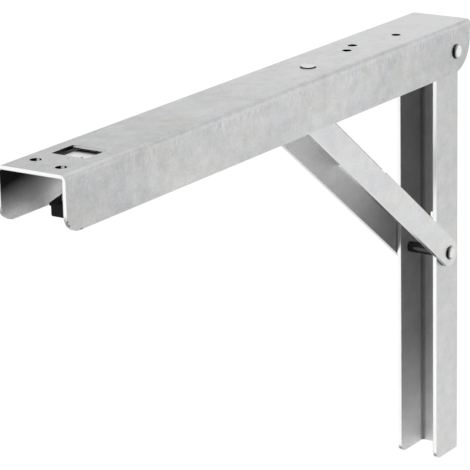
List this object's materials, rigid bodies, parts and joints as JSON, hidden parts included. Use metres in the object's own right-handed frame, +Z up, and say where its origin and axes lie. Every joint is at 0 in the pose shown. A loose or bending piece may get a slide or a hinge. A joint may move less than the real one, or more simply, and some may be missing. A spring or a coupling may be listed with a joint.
{
  "type": "folding shelf bracket",
  "caption": "Folding shelf bracket of bent steel channels: wall channel, shelf arm and strut, with a release handle under the arm that lets it fold flat.",
  "frame": {"origin": "middle of the wall channel's back face, which is the face that lies on the wall", "axes": "+Y into the wall, -Y along the open arm to its front end, +Z up to the shelf, +X to the right when looking at the wall"},
  "size_m": [0.0452, 0.4, 0.2753],
  "materials": {
    "zinc_sheet": "zinc plated sheet steel, dull with faint vertical streaks",
    "zinc_bright": "zinc plated, brighter, turned or upset",
    "spring_steel": "zinc plated strip, smooth",
    "black_plastic": "black moulded plastic, fine grain"
  },
  "bodies": {
    "wall_side": {"wall_channel": "zinc_sheet", "arm_pivot_rivet": "zinc_bright", "strut_pivot_rivet": "zinc_bright", "arm_bush_left": "zinc_bright", "arm_bush_right": "zinc_bright"},
    "arm": {"arm_channel": "zinc_sheet", "latch_rivet": "zinc_bright"},
    "strut": {"strut": "zinc_sheet", "catch_bar": "zinc_bright"},
    "latch": {"latch_strip": "spring_steel", "release_handle": "black_plastic"}
  },
  "joints": [
    {"name": "arm_fold", "type": "hinge", "parent": "wall_side", "child": "arm", "pos_m": [0, -0.0175, 0.1253], "axis": [1, 0, 0], "range_deg": [0, 88.6]},
    {"name": "strut_swing", "type": "hinge", "parent": "wall_side", "child": "strut", "pos_m": [0, -0.0175, -0.0007], "axis": [1, 0, 0], "range_deg": [0, 124.78]},
    {"name": "latch_lift", "type": "slide", "parent": "arm", "child": "latch", "axis": [0, 0, 1], "range_m": [0, 0.0013], "stiffness_N_per_m": 300, "springref_m": -0.005}
  ],
  "couplings": [
    {"joint": "strut_swing", "follows": "arm_fold", "ratio": 1.4081}
  ]
}
